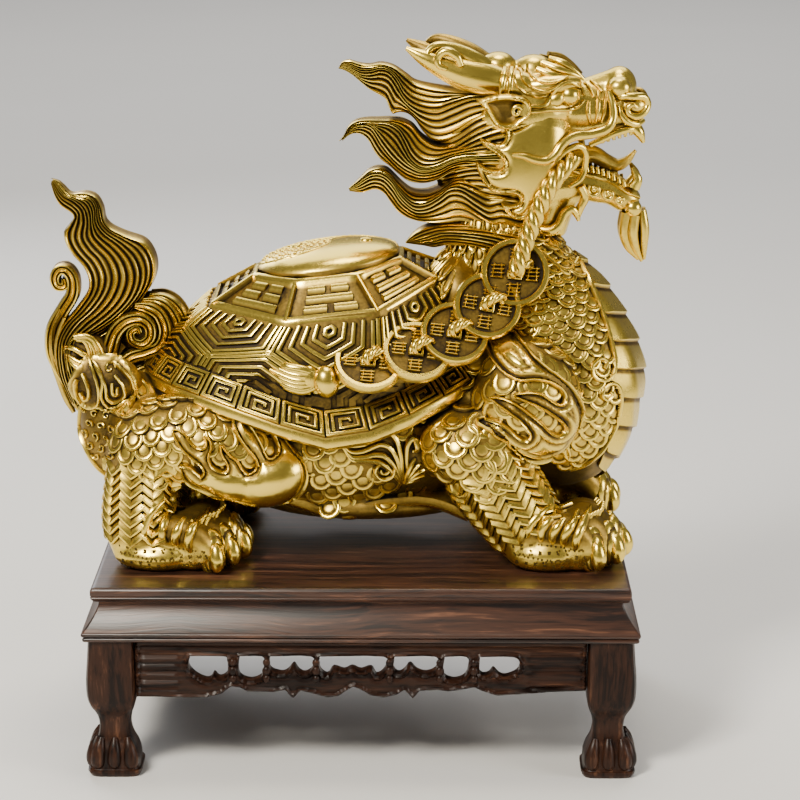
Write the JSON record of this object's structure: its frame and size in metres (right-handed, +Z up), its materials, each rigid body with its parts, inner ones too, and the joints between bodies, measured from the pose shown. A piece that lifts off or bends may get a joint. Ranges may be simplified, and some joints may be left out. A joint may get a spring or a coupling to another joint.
{
  "type": "dragon turtle figure",
  "caption": "Cast brass dragon turtle with a dragon's head, flame tail, domed patterned shell and a string of coins, standing on a carved dark wooden stand.",
  "frame": {"origin": "on the surface the stand's feet rest on, under the middle of the whole object's box", "axes": "+Z up, +X from the tail to the dragon's head, -Y to the side that carries the string of coins"},
  "size_m": [0.311, 0.186, 0.3621],
  "materials": {
    "brass": "polished brass with dark brown patina in the recesses",
    "dark_wood": "satin dark wenge-like wood with fine grain"
  },
  "bodies": {
    "root": {"dragon_turtle": "brass", "stand_top": "dark_wood", "stand_ledge": "dark_wood", "stand_leg_front_left": "dark_wood", "stand_leg_front_right": "dark_wood", "stand_leg_back_left": "dark_wood", "stand_leg_back_right": "dark_wood", "stand_apron_front": "dark_wood", "stand_apron_back": "dark_wood", "stand_apron_left": "dark_wood", "stand_apron_right": "dark_wood"}
  },
  "joints": []
}
